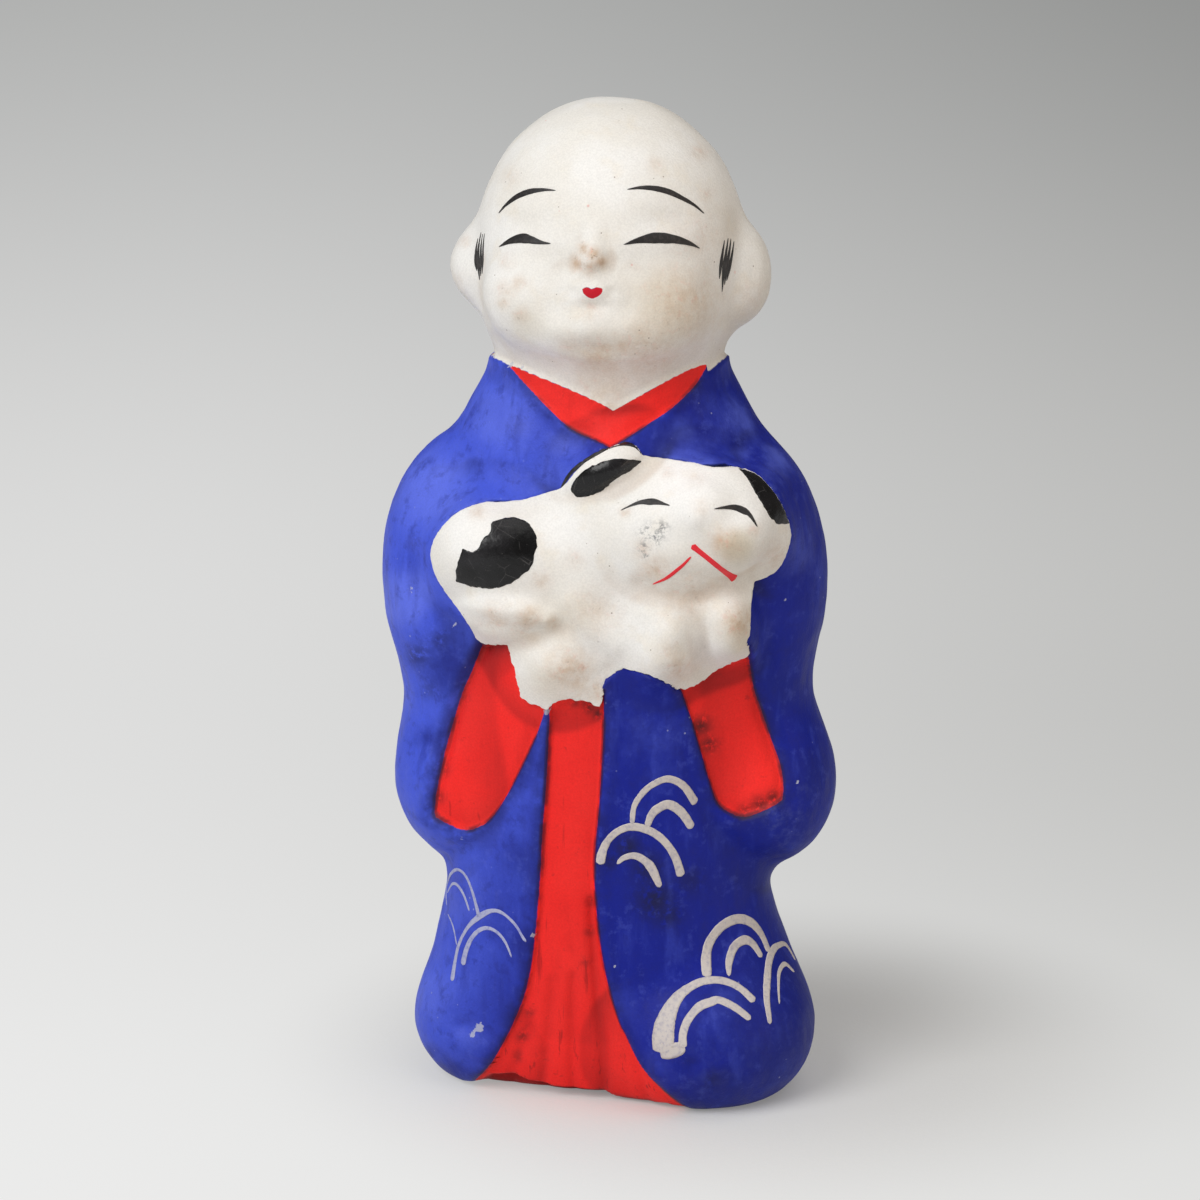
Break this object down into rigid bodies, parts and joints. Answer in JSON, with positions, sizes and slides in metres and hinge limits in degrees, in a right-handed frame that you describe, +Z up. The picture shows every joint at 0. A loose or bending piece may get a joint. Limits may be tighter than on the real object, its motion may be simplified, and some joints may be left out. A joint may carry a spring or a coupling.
{
  "type": "clay doll",
  "caption": "Hollow press-moulded clay doll of a shaven-headed child in a long coat with wide sleeves, holding a puppy to the chest; stands on a flat slab foot.",
  "frame": {"origin": "on the floor under the doll's upright axis, in the seam plane between the front and back halves", "axes": "+Z up, -Y the way the face looks, +X towards the doll's left hand"},
  "size_m": [0.0681, 0.0444, 0.1491],
  "materials": {
    "painted_white": "matte chalky white paint over low-fired clay",
    "painted_coat": "matte blue and red pigment paint over low-fired clay",
    "fired_clay": "bare low-fired clay"
  },
  "bodies": {
    "root": {"face_shell": "painted_white", "head_back_shell": "painted_white", "head_seam_slip": "fired_clay", "neck_slip": "fired_clay", "coat_front_shell": "painted_coat", "coat_back_shell": "painted_coat", "coat_right_seam_slip": "fired_clay", "coat_left_seam_slip": "fired_clay", "foot_slip": "fired_clay", "base_slab": "fired_clay", "puppy": "painted_white"}
  },
  "joints": []
}
